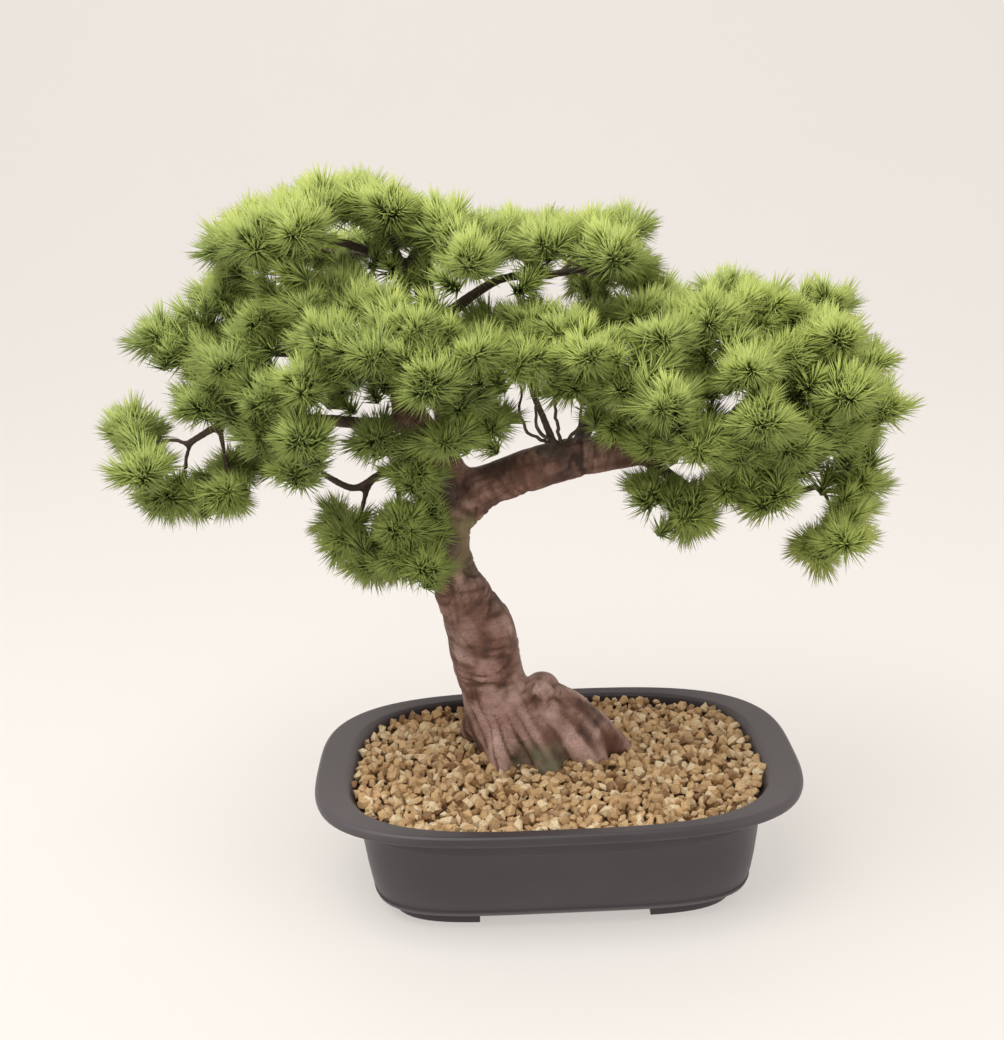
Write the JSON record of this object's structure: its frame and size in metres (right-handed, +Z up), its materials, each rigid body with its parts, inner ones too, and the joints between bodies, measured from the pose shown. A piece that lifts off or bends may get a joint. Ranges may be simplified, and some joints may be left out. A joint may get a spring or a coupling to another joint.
{
  "type": "pine bonsai",
  "caption": "Pine bonsai with a leaning trunk, one long side bough and layered sprays of short needles, in a dark oval tray filled with tan gravel.",
  "frame": {"origin": "the middle of the whole bonsai's footprint (needle tips included), on the surface that the tray stands on", "axes": "+X along the tray's length, towards the tip of the long bough; +Z up; the front of the tray, which the picture looks at, faces -Y"},
  "size_m": [0.4026, 0.2086, 0.3746],
  "materials": {
    "pot": "satin",
    "soil": "matte",
    "gravel": "matte",
    "bark": "matte",
    "needles": "matte"
  },
  "bodies": {
    "root": {"pot": "pot", "soil": "soil", "gravel": "gravel", "trunk": "bark", "spray_top_left_end": "needles", "spray_top_left_mid": "needles", "spray_top_left_inner": "needles", "spray_crown": "needles", "spray_top_right_inner": "needles", "spray_top_right_end": "needles", "spray_mid_left_top": "needles", "spray_mid_left_inner": "needles", "spray_mid_left_end": "needles", "spray_left_elbow": "needles", "spray_centre_left": "needles", "spray_centre_front": "needles", "spray_heart": "needles", "spray_centre_top": "needles", "spray_right_inner": "needles", "spray_right_mid_top": "needles", "spray_right_front": "needles", "spray_right_low_front": "needles", "spray_right_crown": "needles", "spray_right_crown_end": "needles", "spray_right_centre": "needles", "spray_far_right": "needles", "spray_right_low": "needles", "spray_right_under": "needles", "spray_right_hanging": "needles", "spray_right_bottom": "needles", "spray_low_left_end": "needles", "spray_low_left_hanging": "needles", "spray_low_left_inner": "needles", "spray_centre_left_low": "needles", "spray_left_hanging": "needles", "spray_left_hanging_inner": "needles", "spray_trunk_front": "needles", "spray_fork_left": "needles", "spray_back_top_left": "needles", "spray_back_crown": "needles", "spray_back_top_right": "needles", "spray_back_left": "needles", "spray_back_centre": "needles", "spray_back_right": "needles", "spray_back_far_right": "needles"}
  },
  "joints": []
}
